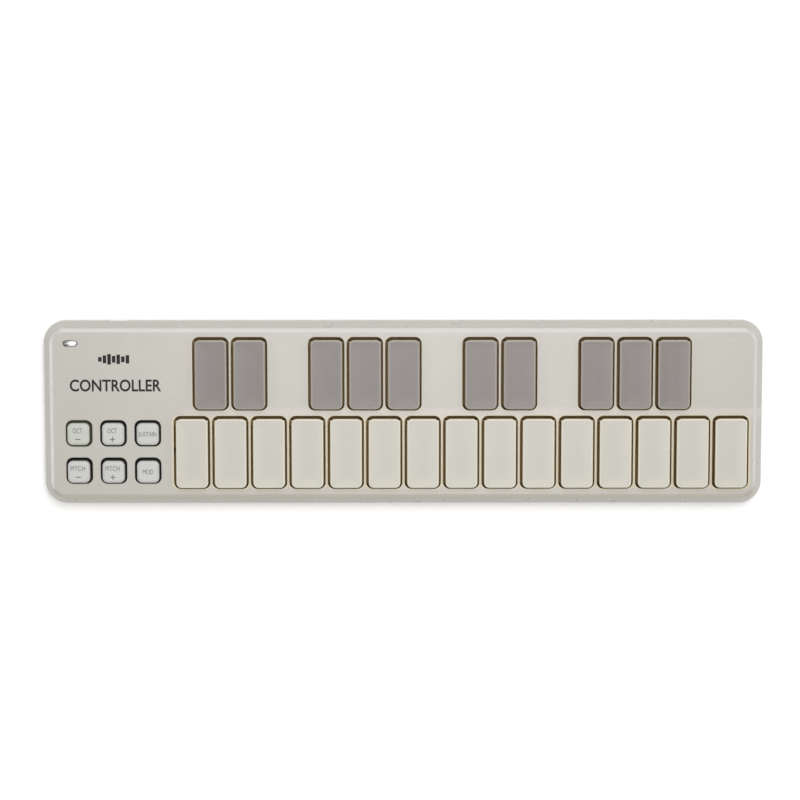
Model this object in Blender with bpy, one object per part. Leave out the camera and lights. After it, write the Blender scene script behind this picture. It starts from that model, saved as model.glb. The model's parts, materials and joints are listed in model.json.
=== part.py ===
"""A slim two-octave MIDI keyboard with fifteen white and ten black pad-like keys and six buttons.

Every separate piece of the instrument is one object. Lengths in this script are millimetres, and
build_object() turns them into metres. X runs along the keyboard to the right, +Y points to the rear
edge and +Z up, and the origin lies on the surface that the feet stand on, under the case's middle.
"""

from math import cos, pi, radians, sin

import bmesh
import bpy
from mathutils import Matrix, Vector

MM = 0.001
GAP = 0.3  # between pieces that touch on the real instrument
OVERLAP = 0.4  # how far two bodies run into each other before they are joined
REACH = 1.0  # how far a cutting body runs past the faces it cuts

SMALL_CORNER_STEPS = 1  # straight runs in each round corner of a key, a button or its opening

# Case. Each ring of its outline is the widest outline moved in by an inset.
CASE_HALF_X = 162.0
CASE_HALF_Y = 41.5
CASE_CORNER = 10.0
CASE_CORNER_STEPS = 4
PANEL_TOP = 13.8
PANEL_UNDERSIDE = 12.0
PARTING_Z = 5.4
FLOOR_UNDERSIDE = 1.0
FLOOR_TOP = 2.6
WALL = 1.9
TOP_COVER_INSIDE = ((5.4, PANEL_UNDERSIDE), (4.5, 11.5), (WALL, 6.2), (WALL, PARTING_Z))
TOP_COVER_OUTSIDE = ((0.0, PARTING_Z), (0.0, 7.2), (3.3, 12.7), (5.2, PANEL_TOP))
BOTTOM_COVER_OUTSIDE = ((3.0, FLOOR_UNDERSIDE), (1.2, 1.6), (0.25, 3.0), (0.25, PARTING_Z - GAP))
LIP_TOP = 6.4
BOTTOM_COVER_INSIDE = (
    (WALL + GAP, PARTING_Z - GAP),
    (WALL + GAP, LIP_TOP),
    (3.3, LIP_TOP),
    (3.3, FLOOR_TOP),
)

# Keys. Both rows use one key shape on one pitch, and the black row is half a pitch over.
PITCH = 17.29
WHITE_KEYS = 15
FIRST_WHITE_X = -95.05
BLACK_STEPS = (0, 1, 3, 4, 5, 7, 8, 10, 11, 12)  # the white key to the left of each black key
BARE_STEPS = (2, 6, 9)  # the same, for the gaps in the black row
WELL_HALF_X = 8.1
WELL_LENGTH = 32.95
WELL_CORNER = 2.4
WHITE_WELL_REAR = -1.1
BLACK_WELL_REAR = 34.4
REAR_CLEARANCE = 1.2
CAP_HALF_X = 7.15
CAP_LENGTH = 31.2
CAP_CORNER = 1.8
CAP_BOTTOM = 11.1
CAP_SHOULDER = 15.4
KEY_TOP = 16.0
KEY_EDGE_ROUNDING = 0.6
CAP_WALL = 1.2
CAP_ROOF_UNDERSIDE = 14.5

# The hinge line lies under the rear end of each cap. Key shapes are drawn from it.
HINGE_FROM_CAP_REAR = 1.6
HINGE_Z = 9.2
PIN_RADIUS = 0.85
PIN_HOLE_RADIUS = 1.15
PIN_SIDES = 6
PIN_END_X = 8.1
CHEEK_X = (5.9, 7.1)
CHEEK_Y = (-1.5, 0.9)
CHEEK_BOTTOM = 8.1
STOP_LIP_HALF_X = 4.5
STOP_LIP_REACH = 1.5
STOP_LIP_Z = (10.9, 11.6)
PLUNGER_FROM_HINGE = 16.0
PLUNGER_RADIUS = 1.8
PLUNGER_SIDES = 6
PLUNGER_BOTTOM = 9.5

# Buttons.
BUTTON_X = (-145.7, -130.25, -114.85)
BUTTON_Y = (-8.9, -25.8)
BUTTON_HOLE_HALF = 5.95
BUTTON_HOLE_CORNER = 3.0
BUTTON_HALF = 4.85
BUTTON_CORNER = 2.2
BUTTON_TOP = 14.9
BUTTON_EDGE_ROUNDING = 0.7
BUTTON_FLANGE_HALF = 6.5
BUTTON_FLANGE_Z = (10.7, 11.7)
BUTTON_NAMES = (
    ("octave_down_button", "octave_up_button", "sustain_button"),
    ("pitch_down_button", "pitch_up_button", "modulation_button"),
)

# Power light.
LENS_X = -149.2
LENS_Y = 31.6
LENS_HALF_X = 3.1
LENS_RADIUS = 1.15
LENS_BOTTOM = 7.2
LENS_TOP = 13.9
LENS_CLEARANCE = 0.2
LENS_COLLAR_WIDTH = 1.0
LENS_COLLAR_HEIGHT = 1.0
LED_HALF_X = 1.6
LED_HALF_Y = 0.9
LED_HEIGHT = 1.2

# Inner stack, from the board up.
BOARD_HALF_X = 158.0
BOARD_HALF_Y = 37.5
BOARD_CORNER = 7.0
BOARD_Z = (3.9, 5.1)
SHEET_Z = (5.4, 6.2)
SHEET_MARGIN = 6.0
DOME_TOP = 9.2
DOME_FOOT_RADIUS = 4.0
DOME_TOP_RADIUS = 2.2
DOME_WALL = 0.8
DOME_SIDES = 6
FRAME_X = (-105.2, 157.0)
FRAME_Y = (-35.4, 34.4)
FRAME_Z = (6.5, 7.8)
FRAME_CORNER = 3.0
FRAME_WINDOW_HALF = 4.8
FRAME_LEG_X = (-100.0, -34.0, 43.0, 112.0, 151.0)
FRAME_LEG_Y = (-32.0, 2.0, 24.0)
FRAME_LEG_HALF_X = 2.0
FRAME_LEG_HALF_Y = 1.5
EAR_HALF_X = 1.15
EAR_HALF_Y = 2.0
EAR_TOP = 10.7
FELT_Z = (7.95, 8.3)
FELT_DEPTH = 3.0
FELT_MARGIN = 0.2
CHIP_PLACE = (-128.0, 16.0)
CHIP_HALF = 5.0
CHIP_HEIGHT = 1.4
CRYSTAL_PLACE = (-128.0, 6.5)
CRYSTAL_HALF_X = 5.5
CRYSTAL_HALF_Y = 2.3
CRYSTAL_CORNER = 2.2
CRYSTAL_HEIGHT = 3.2

# Fasteners and feet.
BARE_X = [FIRST_WHITE_X + PITCH * (step + 0.5) for step in BARE_STEPS]
CASE_SCREWS = (
    (-150.0, 12.0),
    (-109.0, 24.0),
    *((x, 27.0) for x in BARE_X),
    (146.0, 16.0),
    (-155.6, -17.35),
    (-105.7, -17.35),
)
BOARD_SCREWS = ((BARE_X[0], 6.0), (BARE_X[2], 6.0))
BOSS_RADIUS = 2.4
BOSS_BOTTOM = 3.9
BOSS_CLEARANCE = 0.6
PILOT_RADIUS = 1.15
CASE_PILOT_TOP = 10.8
BOARD_PILOT_BOTTOM = 1.8
SHANK_RADIUS = 0.95
CASE_SHANK_LENGTH = 8.0
BOARD_SHANK_LENGTH = 5.9
SCREW_SIT = 0.2  # left between a screw's head and its seat
SEAT_RADIUS = 3.4
SEAT_TOP = 3.6
COUNTERBORE_RADIUS = 2.6
COUNTERBORE_TOP = 2.4
SCREW_HEAD_RADIUS = 2.1
SCREW_CROWN_RADIUS = 1.5
SCREW_RIM_HEIGHT = 0.5
SCREW_HEAD_HEIGHT = 1.1
SCREW_RECESS_DEPTH = 0.6
SCREW_RECESS_ARM = 1.1
SCREW_RECESS_HALF_WIDTH = 0.25
FOOT_PLACES = (
    ("front_left_foot", -148.0, -29.5),
    ("front_right_foot", 148.0, -29.5),
    ("rear_left_foot", -148.0, 29.5),
    ("rear_right_foot", 148.0, 29.5),
)
FOOT_RADIUS = 5.0
FOOT_TREAD_RADIUS = 4.5
FOOT_EDGE_HEIGHT = 0.4
FOOT_SIDES = 12
FOOT_TOP = 1.4
FOOT_RECESS_TOP = 1.7

# USB socket in the rear wall. The board has a slot that the socket sits down in.
USB_X = -128.0
USB_Y = (31.1, 40.3)
USB_Z = (3.0, 6.8)
USB_HALF_TOP = 3.85
USB_HALF_BOTTOM = 3.0
USB_BEND_HEIGHT = 1.3
USB_METAL = 0.3
USB_NOTCH_Y = (36.5, 43.5)
TONGUE_HALF_X = 2.2
TONGUE_Z = (4.8, 5.8)
TONGUE_Y = (31.8, 39.0)
BOARD_SLOT_Y = (30.8, 38.5)


# ---- outlines -------------------------------------------------------------------------------------


def rounded_outline(half_x, half_y, radius, steps, centre=(0.0, 0.0)):
    """Anticlockwise points of a rectangle with round corners."""
    points = []
    for quarter, (side_x, side_y) in enumerate(((1, 1), (-1, 1), (-1, -1), (1, -1))):
        for step in range(steps + 1):
            angle = (quarter + step / steps) * pi / 2
            x = centre[0] + side_x * (half_x - radius) + radius * cos(angle)
            y = centre[1] + side_y * (half_y - radius) + radius * sin(angle)
            points.append((x, y))
    return points


def circle(radius, sides, centre=(0.0, 0.0)):
    turns = [2 * pi * (side + 0.5) / sides for side in range(sides)]
    return [(centre[0] + radius * cos(turn), centre[1] + radius * sin(turn)) for turn in turns]


def case_ring(inset):
    return rounded_outline(
        CASE_HALF_X - inset, CASE_HALF_Y - inset, CASE_CORNER - inset, CASE_CORNER_STEPS
    )


# ---- solids ---------------------------------------------------------------------------------------


def add_loft(shape, sections):
    """Adds a closed body through sections, each (outline, z), with the first and the last filled."""
    rings = [[shape.verts.new((x, y, z)) for x, y in outline] for outline, z in sections]
    sides = len(rings[0])
    faces = [shape.faces.new(rings[0]), shape.faces.new(rings[-1])]
    for lower, upper in zip(rings, rings[1:]):
        for i in range(sides):
            j = (i + 1) % sides
            faces.append(shape.faces.new((lower[i], lower[j], upper[j], upper[i])))
    bmesh.ops.recalc_face_normals(shape, faces=faces)
    return [vert for ring in rings for vert in ring]


def add_prism(shape, outline, low, high):
    return add_loft(shape, ((outline, low), (outline, high)))


def add_cylinder(shape, radius, low, high, centre=(0.0, 0.0), sides=8):
    return add_prism(shape, circle(radius, sides, centre), low, high)


def add_box(shape, x, y, z):
    """Adds a box from three (low, high) pairs."""
    corners = ((x[0], y[0]), (x[1], y[0]), (x[1], y[1]), (x[0], y[1]))
    return add_prism(shape, corners, *z)


def add_bar_along_x(shape, radius, x, y, z):
    """Adds a hinge-line bar between the two x values, with its axis at that y and z."""
    verts = add_cylinder(shape, radius, x[0], x[1], sides=PIN_SIDES)
    turn = Matrix.Rotation(radians(90), 4, "Y")
    bmesh.ops.transform(shape, matrix=Matrix.Translation((0, y, z)) @ turn, verts=verts)


def mesh_of(shape, name):
    mesh = bpy.data.meshes.new(name)
    shape.to_mesh(mesh)
    shape.free()
    return mesh


def combined(base, tools, operation):
    """Frees two shapes and returns the first with the second one's bodies joined on or cut away."""
    pair = [bpy.data.objects.new("shape", mesh_of(shape, "shape")) for shape in (base, tools)]
    for item in pair:
        bpy.context.scene.collection.objects.link(item)
    modifier = pair[0].modifiers.new("Boolean", "BOOLEAN")
    modifier.operation = operation
    modifier.object = pair[1]
    graph = bpy.context.evaluated_depsgraph_get()
    result = bmesh.new()
    result.from_object(pair[0], graph)
    for item in pair:
        bpy.data.objects.remove(item)
    return result


def joined(base, tools):
    return combined(base, tools, "UNION")


def cut(base, tools):
    return combined(base, tools, "DIFFERENCE")


def build_object(name, mesh, material, origin=(0.0, 0.0, 0.0)):
    """Places a mesh drawn in millimetres about origin as one named object in metres."""
    if not mesh.get("in_metres"):
        mesh.transform(Matrix.Scale(MM, 4))
        mesh["in_metres"] = True
        mesh.materials.append(material)
        mesh.shade_smooth()
        mesh.set_sharp_from_angle(angle=radians(35))
    item = bpy.data.objects.new(name, mesh)
    item.location = Vector(origin) * MM
    bpy.context.scene.collection.objects.link(item)
    return item


def plastic(name, colour, roughness, metallic=0.0):
    material = bpy.data.materials.new(name)
    material.use_nodes = True
    shader = material.node_tree.nodes["Principled BSDF"]
    shader.inputs["Base Color"].default_value = (*colour, 1.0)
    shader.inputs["Roughness"].default_value = roughness
    shader.inputs["Metallic"].default_value = metallic
    material.diffuse_color = (*colour, 1.0)
    return material


# ---- places ---------------------------------------------------------------------------------------


def white_key_places():
    return [FIRST_WHITE_X + PITCH * i for i in range(WHITE_KEYS)]


def black_key_places():
    return [FIRST_WHITE_X + PITCH * (step + 0.5) for step in BLACK_STEPS]


def hinge_y(well_rear):
    return well_rear - REAR_CLEARANCE - HINGE_FROM_CAP_REAR


def dome_y(well_rear):
    return hinge_y(well_rear) - PLUNGER_FROM_HINGE


def key_rows():
    """(x places, rear edge of the wells) of the white row and the black row."""
    return (
        (white_key_places(), WHITE_WELL_REAR),
        (black_key_places(), BLACK_WELL_REAR),
    )


def ear_places(key_places):
    """One ear on each side of every key, shared by keys that are neighbours."""
    sides = {round(x + side * PITCH / 2, 3) for x in key_places for side in (-1, 1)}
    return sorted(sides)


# ---- case -----------------------------------------------------------------------------------------


def usb_opening():
    """The notch that both covers leave round the socket."""
    notch = bmesh.new()
    half = USB_HALF_TOP + GAP
    z = (USB_Z[0] - GAP, USB_Z[1] + GAP)
    add_box(notch, (USB_X - half, USB_X + half), USB_NOTCH_Y, z)
    return notch


def lens_outline(clearance=0.0):
    radius = LENS_RADIUS + clearance
    return rounded_outline(LENS_HALF_X + clearance, radius, radius, 3, (LENS_X, LENS_Y))


def build_top_cover(material):
    shell = bmesh.new()
    profile = TOP_COVER_INSIDE + TOP_COVER_OUTSIDE
    add_loft(shell, [(case_ring(inset), z) for inset, z in profile])

    bosses = bmesh.new()
    for place in CASE_SCREWS:
        add_cylinder(bosses, BOSS_RADIUS, BOSS_BOTTOM, PANEL_UNDERSIDE + OVERLAP, place)
    shell = joined(shell, bosses)

    holes = bmesh.new()
    through = (PANEL_UNDERSIDE - REACH, PANEL_TOP + REACH)
    for places, rear in key_rows():
        for x in places:
            centre = (x, rear - WELL_LENGTH / 2)
            half_y = WELL_LENGTH / 2
            well = rounded_outline(WELL_HALF_X, half_y, WELL_CORNER, SMALL_CORNER_STEPS, centre)
            add_prism(holes, well, *through)
    for x in BUTTON_X:
        for y in BUTTON_Y:
            half, corner = BUTTON_HOLE_HALF, BUTTON_HOLE_CORNER
            hole = rounded_outline(half, half, corner, SMALL_CORNER_STEPS, (x, y))
            add_prism(holes, hole, *through)
    add_prism(holes, lens_outline(LENS_CLEARANCE), *through)
    for place in CASE_SCREWS:
        add_cylinder(holes, PILOT_RADIUS, BOSS_BOTTOM - REACH, CASE_PILOT_TOP, place)
    shell = cut(cut(shell, holes), usb_opening())
    build_object("top_cover", mesh_of(shell, "top_cover"), material)


def build_bottom_cover(material):
    shell = bmesh.new()
    profile = BOTTOM_COVER_OUTSIDE + BOTTOM_COVER_INSIDE
    add_loft(shell, [(case_ring(inset), z) for inset, z in profile])

    seats = bmesh.new()
    for place in CASE_SCREWS + BOARD_SCREWS:
        add_cylinder(seats, SEAT_RADIUS, FLOOR_TOP - OVERLAP, SEAT_TOP, place)
    shell = joined(shell, seats)

    holes = bmesh.new()
    for place in CASE_SCREWS:
        add_cylinder(holes, COUNTERBORE_RADIUS, 0.0, COUNTERBORE_TOP, place)
    for _, x, y in FOOT_PLACES:
        add_cylinder(holes, FOOT_RADIUS + GAP, 0.0, FOOT_RECESS_TOP, (x, y), FOOT_SIDES)
    for place in BOARD_SCREWS:
        add_cylinder(holes, PILOT_RADIUS, BOARD_PILOT_BOTTOM, SEAT_TOP + REACH, place)
    shell = cut(cut(shell, holes), usb_opening())

    bores = bmesh.new()
    for place in CASE_SCREWS:
        add_cylinder(bores, SHANK_RADIUS + GAP, 0.0, SEAT_TOP + REACH, place)
    build_object("bottom_cover", mesh_of(cut(shell, bores), "bottom_cover"), material)


def build_feet(material):
    sections = (
        (FOOT_TREAD_RADIUS, 0.0),
        (FOOT_RADIUS, FOOT_EDGE_HEIGHT),
        (FOOT_RADIUS, FOOT_TOP),
    )
    foot = bmesh.new()
    add_loft(foot, [(circle(radius, FOOT_SIDES), z) for radius, z in sections])
    mesh = mesh_of(foot, "foot")
    for name, x, y in FOOT_PLACES:
        build_object(name, mesh, material, (x, y, 0.0))


def screw_mesh(length):
    """A pan-head screw with a cross recess, its head below and its shank pointing up from z 0."""
    screw = bmesh.new()
    head = (
        (SCREW_CROWN_RADIUS, -SCREW_HEAD_HEIGHT),
        (SCREW_HEAD_RADIUS, -SCREW_RIM_HEIGHT),
        (SCREW_HEAD_RADIUS, 0.0),
    )
    add_loft(screw, [(circle(radius, 8), z) for radius, z in head])
    shank = bmesh.new()
    add_cylinder(shank, SHANK_RADIUS, -OVERLAP, length, sides=6)
    recess = bmesh.new()
    long, short = SCREW_RECESS_ARM, SCREW_RECESS_HALF_WIDTH
    quarter = ((long, -short), (long, short), (short, short))
    turns = [Matrix.Rotation(radians(90 * i), 2) for i in range(4)]
    cross = [turn @ Vector(point) for turn in turns for point in quarter]
    face = -SCREW_HEAD_HEIGHT
    add_prism(recess, cross, face - REACH, face + SCREW_RECESS_DEPTH)
    return mesh_of(cut(joined(screw, shank), recess), "screw")


def build_screws(material):
    case_screw = screw_mesh(CASE_SHANK_LENGTH)
    height = COUNTERBORE_TOP - SCREW_SIT
    for number, (x, y) in enumerate(CASE_SCREWS, start=1):
        build_object(f"case_screw_{number}", case_screw, material, (x, y, height))
    board_screw = screw_mesh(BOARD_SHANK_LENGTH)
    height = FRAME_Z[1] + SCREW_SIT
    for number, (x, y) in enumerate(BOARD_SCREWS, start=1):
        item = build_object(f"board_screw_{number}", board_screw, material, (x, y, height))
        item.rotation_euler = (pi, 0.0, 0.0)


# ---- keys and buttons -----------------------------------------------------------------------------


def key_mesh(name):
    """One key, drawn from the middle of its hinge line."""
    rear = HINGE_FROM_CAP_REAR
    front = rear - CAP_LENGTH
    roof = CAP_ROOF_UNDERSIDE - HINGE_Z

    def cap_ring(inset, z):
        half_x, half_y = CAP_HALF_X - inset, CAP_LENGTH / 2 - inset
        centre = (0.0, (rear + front) / 2)
        corner = CAP_CORNER - inset
        return rounded_outline(half_x, half_y, corner, SMALL_CORNER_STEPS, centre), z - HINGE_Z

    key = bmesh.new()
    sides = [cap_ring(0.0, z) for z in (CAP_BOTTOM, CAP_SHOULDER)]
    add_loft(key, (*sides, cap_ring(KEY_EDGE_ROUNDING, KEY_TOP)))
    hollow = bmesh.new()
    hollow_x = CAP_HALF_X - CAP_WALL
    hollow_y = (front + CAP_WALL, rear - CAP_WALL)
    hollow_z = (CAP_BOTTOM - REACH - HINGE_Z, roof)
    add_box(hollow, (-hollow_x, hollow_x), hollow_y, hollow_z)
    key = cut(key, hollow)

    limbs = bmesh.new()
    limb_top = roof + OVERLAP
    plunger = (0.0, -PLUNGER_FROM_HINGE)
    plunger_z = (PLUNGER_BOTTOM - HINGE_Z, limb_top)
    add_cylinder(limbs, PLUNGER_RADIUS, *plunger_z, plunger, PLUNGER_SIDES)
    for side in (-1, 1):
        cheek_x = sorted(side * x for x in CHEEK_X)
        add_box(limbs, cheek_x, CHEEK_Y, (CHEEK_BOTTOM - HINGE_Z, limb_top))
    lip_x = (-STOP_LIP_HALF_X, STOP_LIP_HALF_X)
    lip_y = (front - STOP_LIP_REACH, front + CAP_WALL / 2)
    add_box(limbs, lip_x, lip_y, [z - HINGE_Z for z in STOP_LIP_Z])
    key = joined(key, limbs)

    pins = bmesh.new()
    for side in (-1, 1):
        pin_x = sorted((side * (CHEEK_X[1] - OVERLAP), side * PIN_END_X))
        add_bar_along_x(pins, PIN_RADIUS, pin_x, 0.0, 0.0)
    return mesh_of(joined(key, pins), name)


def build_keys(white, black):
    rows = (
        ("white_key", white, white_key_places(), WHITE_WELL_REAR),
        ("black_key", black, black_key_places(), BLACK_WELL_REAR),
    )
    for name, material, places, rear in rows:
        mesh = key_mesh(name)
        for number, x in enumerate(places, start=1):
            origin = (x, hinge_y(rear), HINGE_Z)
            build_object(f"{name}_{number:02}", mesh, material, origin)


def button_mesh():
    """One push button, drawn from the top of its flange."""
    low, high = BUTTON_FLANGE_Z

    def ring(half, corner, z):
        return rounded_outline(half, half, corner, SMALL_CORNER_STEPS), z - high

    top_half = BUTTON_HALF - BUTTON_EDGE_ROUNDING
    sections = (
        ring(BUTTON_FLANGE_HALF, BUTTON_HOLE_CORNER, low),
        ring(BUTTON_FLANGE_HALF, BUTTON_HOLE_CORNER, high),
        ring(BUTTON_HALF, BUTTON_CORNER, high),
        ring(BUTTON_HALF, BUTTON_CORNER, BUTTON_TOP - BUTTON_EDGE_ROUNDING),
        ring(top_half, BUTTON_CORNER - BUTTON_EDGE_ROUNDING, BUTTON_TOP),
    )
    button = bmesh.new()
    add_loft(button, sections)
    plunger = bmesh.new()
    plunger_z = (PLUNGER_BOTTOM - high, low + OVERLAP - high)
    add_cylinder(plunger, PLUNGER_RADIUS, *plunger_z, sides=PLUNGER_SIDES)
    return mesh_of(joined(button, plunger), "button")


def build_buttons(material):
    mesh = button_mesh()
    for y, names in zip(BUTTON_Y, BUTTON_NAMES):
        for x, name in zip(BUTTON_X, names):
            build_object(name, mesh, material, (x, y, BUTTON_FLANGE_Z[1]))


# ---- inside ---------------------------------------------------------------------------------------


def sheet_mesh(name, x, y, domes):
    """A silicone sheet with a hollow dome over each contact."""
    sheet = bmesh.new()
    add_box(sheet, x, y, SHEET_Z)
    outer = bmesh.new()
    inner = bmesh.new()
    for place in domes:
        outside = ((DOME_FOOT_RADIUS, SHEET_Z[1] - OVERLAP), (DOME_TOP_RADIUS, DOME_TOP))
        inside = (
            (DOME_FOOT_RADIUS - DOME_WALL, SHEET_Z[0] - OVERLAP),
            (DOME_TOP_RADIUS - DOME_WALL, DOME_TOP - DOME_WALL),
        )
        add_loft(outer, [(circle(radius, DOME_SIDES, place), z) for radius, z in outside])
        add_loft(inner, [(circle(radius, DOME_SIDES, place), z) for radius, z in inside])
    return mesh_of(cut(joined(sheet, outer), inner), name)


def build_contact_sheets(material):
    rows = (
        ("white_key_contact_sheet", white_key_places(), WHITE_WELL_REAR),
        ("black_key_contact_sheet", black_key_places(), BLACK_WELL_REAR),
    )
    for name, places, rear in rows:
        domes = [(x, dome_y(rear)) for x in places]
        x = (places[0] - SHEET_MARGIN, places[-1] + SHEET_MARGIN)
        y = (dome_y(rear) - SHEET_MARGIN, dome_y(rear) + SHEET_MARGIN)
        build_object(name, sheet_mesh(name, x, y, domes), material)
    name = "button_contact_sheet"
    domes = [(x, y) for x in BUTTON_X for y in BUTTON_Y]
    x = (BUTTON_X[0] - SHEET_MARGIN, BUTTON_X[-1] + SHEET_MARGIN)
    y = (BUTTON_Y[1] - SHEET_MARGIN, BUTTON_Y[0] + SHEET_MARGIN)
    build_object(name, sheet_mesh(name, x, y, domes), material)


def add_screw_clearances(holes, through):
    """Adds the holes that the case bosses and the board screws pass through."""
    for place in CASE_SCREWS:
        add_cylinder(holes, BOSS_RADIUS + BOSS_CLEARANCE, *through, place)
    for place in BOARD_SCREWS:
        add_cylinder(holes, SHANK_RADIUS + GAP, *through, place)


def build_key_frame(material):
    """The carrier under both rows: a plate with a bearing ear on each side of every key."""
    plate = bmesh.new()
    middle = (sum(FRAME_X) / 2, sum(FRAME_Y) / 2)
    half_x, half_y = FRAME_X[1] - middle[0], FRAME_Y[1] - middle[1]
    add_prism(plate, rounded_outline(half_x, half_y, FRAME_CORNER, 1, middle), *FRAME_Z)

    limbs = bmesh.new()
    for places, rear in key_rows():
        y = hinge_y(rear)
        for x in ear_places(places):
            ear_x = (x - EAR_HALF_X, x + EAR_HALF_X)
            ear_y = (y - EAR_HALF_Y, y + EAR_HALF_Y)
            add_box(limbs, ear_x, ear_y, (FRAME_Z[1] - OVERLAP, EAR_TOP))
    for x in FRAME_LEG_X:
        for y in FRAME_LEG_Y:
            leg_x = (x - FRAME_LEG_HALF_X, x + FRAME_LEG_HALF_X)
            leg_y = (y - FRAME_LEG_HALF_Y, y + FRAME_LEG_HALF_Y)
            add_box(limbs, leg_x, leg_y, (BOARD_Z[1] + GAP, FRAME_Z[0] + OVERLAP))
    plate = joined(plate, limbs)

    holes = bmesh.new()
    through = (FRAME_Z[0] - OVERLAP, FRAME_Z[1] + OVERLAP)
    for places, rear in key_rows():
        y = dome_y(rear)
        for x in places:
            window_x = (x - FRAME_WINDOW_HALF, x + FRAME_WINDOW_HALF)
            add_box(holes, window_x, (y - FRAME_WINDOW_HALF, y + FRAME_WINDOW_HALF), through)
        bar_x = (FRAME_X[0] - REACH, FRAME_X[1] + REACH)
        add_bar_along_x(holes, PIN_HOLE_RADIUS, bar_x, hinge_y(rear), HINGE_Z)
    add_screw_clearances(holes, through)
    build_object("key_frame", mesh_of(cut(plate, holes), "key_frame"), material)


def build_felts(material):
    """The strips that the stop lips land on."""
    for name, (places, rear) in zip(("white_key_felt", "black_key_felt"), key_rows()):
        felt = bmesh.new()
        x = (places[0] - CAP_HALF_X, places[-1] + CAP_HALF_X)
        lip_end = rear - REAR_CLEARANCE - CAP_LENGTH - STOP_LIP_REACH
        front = lip_end - FELT_MARGIN
        add_box(felt, x, (front, front + FELT_DEPTH), FELT_Z)
        build_object(name, mesh_of(felt, name), material)


def build_board(material):
    board = bmesh.new()
    add_prism(board, rounded_outline(BOARD_HALF_X, BOARD_HALF_Y, BOARD_CORNER, 2), *BOARD_Z)
    holes = bmesh.new()
    through = (BOARD_Z[0] - REACH, BOARD_Z[1] + REACH)
    add_screw_clearances(holes, through)
    slot_half = USB_HALF_TOP + GAP
    add_box(holes, (USB_X - slot_half, USB_X + slot_half), BOARD_SLOT_Y, through)
    build_object("circuit_board", mesh_of(cut(board, holes), "circuit_board"), material)


def build_components(black, metal):
    """The controller chip and its crystal, on the board's left part."""
    low = BOARD_Z[1] + GAP
    chip = bmesh.new()
    side = (-CHIP_HALF, CHIP_HALF)
    add_box(chip, side, side, (0.0, CHIP_HEIGHT))
    build_object("controller_chip", mesh_of(chip, "chip"), black, (*CHIP_PLACE, low))
    crystal = bmesh.new()
    outline = rounded_outline(CRYSTAL_HALF_X, CRYSTAL_HALF_Y, CRYSTAL_CORNER, 3)
    add_prism(crystal, outline, 0.0, CRYSTAL_HEIGHT)
    build_object("clock_crystal", mesh_of(crystal, "crystal"), metal, (*CRYSTAL_PLACE, low))


def build_power_light(clear, chip):
    lens = bmesh.new()
    add_prism(lens, lens_outline(), LENS_BOTTOM, LENS_TOP)
    collar = bmesh.new()
    collar_top = PANEL_UNDERSIDE - GAP
    add_prism(collar, lens_outline(LENS_COLLAR_WIDTH), collar_top - LENS_COLLAR_HEIGHT, collar_top)
    build_object("power_light_lens", mesh_of(joined(lens, collar), "lens"), clear)
    led = bmesh.new()
    add_box(led, (-LED_HALF_X, LED_HALF_X), (-LED_HALF_Y, LED_HALF_Y), (0.0, LED_HEIGHT))
    build_object("power_led", mesh_of(led, "led"), chip, (LENS_X, LENS_Y, BOARD_Z[1] + GAP))


def usb_outline(inset):
    """The socket's cross-section seen from behind: straight sides above, tapered ones below."""
    low, high = USB_Z[0] + inset, USB_Z[1] - inset
    top, bottom = USB_HALF_TOP - inset, USB_HALF_BOTTOM - inset
    bend = low + USB_BEND_HEIGHT
    return ((top, high), (-top, high), (-top, bend), (-bottom, low), (bottom, low), (top, bend))


def build_usb_socket(metal, insulator):
    """A metal shell that is open to the rear, with a contact tongue inside."""
    stand_up = Matrix(((1, 0, 0, USB_X), (0, 0, 1, 0), (0, 1, 0, 0), (0, 0, 0, 1)))
    back = USB_Y[0] + USB_METAL
    outer, inner = usb_outline(0.0), usb_outline(USB_METAL)
    sections = ((outer, USB_Y[0]), (outer, USB_Y[1]), (inner, USB_Y[1]), (inner, back))
    shell = bmesh.new()
    verts = add_loft(shell, sections)
    bmesh.ops.transform(shell, matrix=stand_up, verts=verts)
    bmesh.ops.recalc_face_normals(shell, faces=shell.faces)
    build_object("usb_socket_shell", mesh_of(shell, "usb_shell"), metal)
    tongue = bmesh.new()
    add_box(tongue, (USB_X - TONGUE_HALF_X, USB_X + TONGUE_HALF_X), TONGUE_Y, TONGUE_Z)
    build_object("usb_socket_tongue", mesh_of(tongue, "usb_tongue"), insulator)


# ---- the instrument -------------------------------------------------------------------------------


def clear_scene():
    for item in list(bpy.data.objects):
        bpy.data.objects.remove(item)


def build():
    clear_scene()
    case = plastic("case_plastic", (0.57, 0.54, 0.48), 0.5)
    white = plastic("white_key_plastic", (0.62, 0.59, 0.50), 0.42)
    black = plastic("black_key_plastic", (0.27, 0.24, 0.22), 0.45)
    button = plastic("button_plastic", (0.58, 0.58, 0.57), 0.5)
    clear = plastic("lens_plastic", (0.8, 0.8, 0.78), 0.1)
    silicone = plastic("silicone", (0.25, 0.25, 0.26), 0.8)
    rubber = plastic("foot_rubber", (0.05, 0.05, 0.05), 0.8)
    board = plastic("board_laminate", (0.03, 0.17, 0.08), 0.5)
    chip = plastic("chip_plastic", (0.02, 0.02, 0.02), 0.5)
    felt = plastic("felt", (0.14, 0.09, 0.04), 0.95)
    steel = plastic("steel", (0.62, 0.61, 0.59), 0.3, metallic=1.0)

    build_top_cover(case)
    build_bottom_cover(case)
    build_keys(white, black)
    build_buttons(button)
    build_power_light(clear, chip)
    build_key_frame(case)
    build_felts(felt)
    build_contact_sheets(silicone)
    build_board(board)
    build_components(chip, steel)
    build_usb_socket(steel, chip)
    build_feet(rubber)
    build_screws(steel)


build()
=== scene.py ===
"""The looks of a slim USB music keyboard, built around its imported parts.

Shapes are drawn in millimetres and scaled to metres as they become objects. Places come from the
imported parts' boxes. X runs along the keyboard to the right, +Y is its rear edge and +Z is up.
"""

import json
from math import cos, pi, radians, sin, tan

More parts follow.
